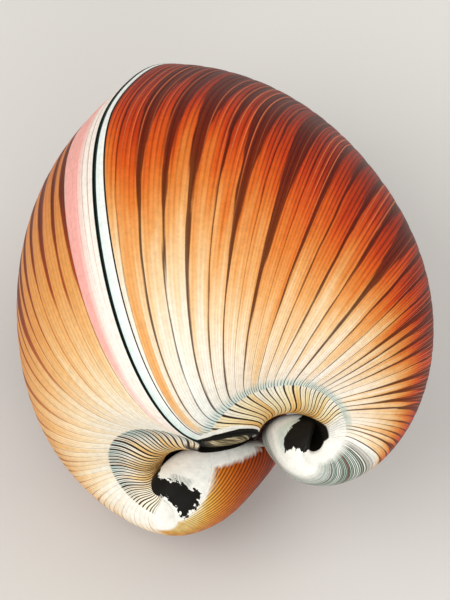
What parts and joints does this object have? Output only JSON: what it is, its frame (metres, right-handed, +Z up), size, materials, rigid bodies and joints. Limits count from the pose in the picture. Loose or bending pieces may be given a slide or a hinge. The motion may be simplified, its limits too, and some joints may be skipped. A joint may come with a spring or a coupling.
{
  "type": "heart cockle shell",
  "caption": "Closed heart cockle shell with swollen mirrored valves, coiled beaks and a dark hinge ligament, lying on one valve",
  "frame": {"origin": "under the middle of the bounding box, on the surface that the shell lies on", "axes": "+Z up with the left valve underneath; +Y is the longest extent; the coiled beaks lie towards -Y"},
  "size_m": [0.0842, 0.0934, 0.0812],
  "materials": {
    "right_valve": "orange-brown shell with dark growth bands, satin",
    "left_valve": "tan and pink shell with brown growth bands, satin",
    "ligament": "dark horny strap, dull"
  },
  "bodies": {
    "root": {"right_valve": "right_valve", "left_valve": "left_valve", "ligament": "ligament"}
  },
  "joints": []
}
